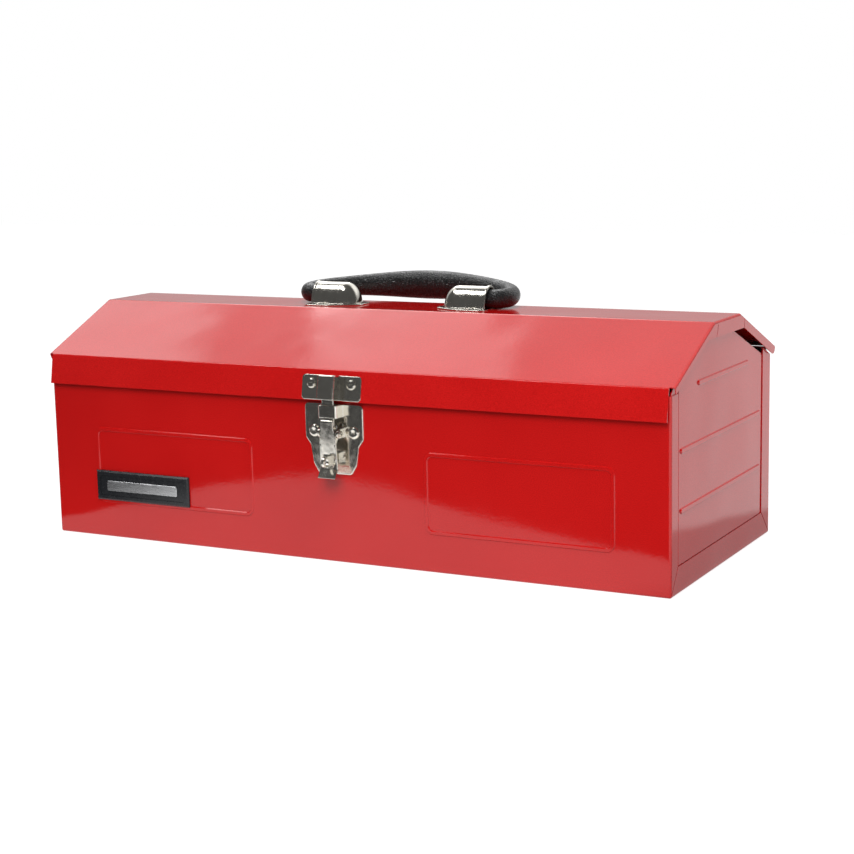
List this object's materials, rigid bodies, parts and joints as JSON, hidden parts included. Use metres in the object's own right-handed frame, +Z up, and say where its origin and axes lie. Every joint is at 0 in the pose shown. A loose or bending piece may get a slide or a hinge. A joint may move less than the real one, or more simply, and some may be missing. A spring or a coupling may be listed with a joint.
{
  "type": "toolbox",
  "caption": "Hip-roof sheet-steel toolbox with a hinged lid, a folding carry handle, a front catch with a padlock eye and a lift-out tray.",
  "frame": {"origin": "centre of the underside, on the surface the box stands on", "axes": "+X along the length, -Y out of the front with the latch, +Z up"},
  "size_m": [0.4894, 0.2217, 0.1886],
  "materials": {
    "red_enamel": "gloss",
    "nickel_plate": "polished",
    "zinc_steel": "satin",
    "grip_plastic": "grained",
    "badge_plastic": "gloss",
    "badge_silver": "brushed"
  },
  "bodies": {
    "box": {"body_shell": "red_enamel", "end_panel_right": "red_enamel", "end_panel_left": "red_enamel", "tray_ledge_right": "red_enamel", "tray_ledge_left": "red_enamel", "hinge_leaf_body": "zinc_steel", "hinge_pin": "zinc_steel", "name_badge": "badge_plastic", "badge_bar": "badge_silver", "badge_push_nuts": "zinc_steel", "latch_base_plate": "nickel_plate", "latch_base_rivets": "nickel_plate", "latch_staple": "nickel_plate", "latch_spring": "zinc_steel", "latch_pivot_pin": "nickel_plate"},
    "lid": {"lid_shell": "red_enamel", "hinge_leaf_lid": "zinc_steel", "strike_plate": "nickel_plate", "strike_rivets": "nickel_plate", "handle_hood_right": "nickel_plate", "handle_hood_left": "nickel_plate", "hood_rivets": "nickel_plate", "handle_bearing_right": "zinc_steel", "handle_bearing_left": "zinc_steel"},
    "lever": {"latch_lever": "nickel_plate", "latch_tongue": "nickel_plate"},
    "handle": {"handle_core_rod": "zinc_steel", "handle_grip": "grip_plastic"},
    "tray": {"tray_shell": "red_enamel", "tray_handle": "zinc_steel", "tray_handle_rivets": "zinc_steel"}
  },
  "joints": [
    {"name": "lid_hinge", "type": "hinge", "parent": "box", "child": "lid", "pos_m": [0, 0.1021, 0.13281], "axis": [-1, 0, 0], "range_deg": [0, 105]},
    {"name": "handle_pivot", "type": "hinge", "parent": "lid", "child": "handle", "pos_m": [0, 0, 0.1744], "axis": [1, 0, 0], "range_deg": [0, 170]},
    {"name": "latch_lever_pivot", "type": "hinge", "parent": "box", "child": "lever", "pos_m": [0, -0.10675, 0.0915], "axis": [-1, 0, 0], "range_deg": [0, 9], "stiffness_Nm_per_rad": 0.02, "springref_deg": -11.46},
    {"name": "tray_lift", "type": "slide", "parent": "box", "child": "tray", "axis": [0, 0, 1], "range_m": [0, 0.009]}
  ]
}
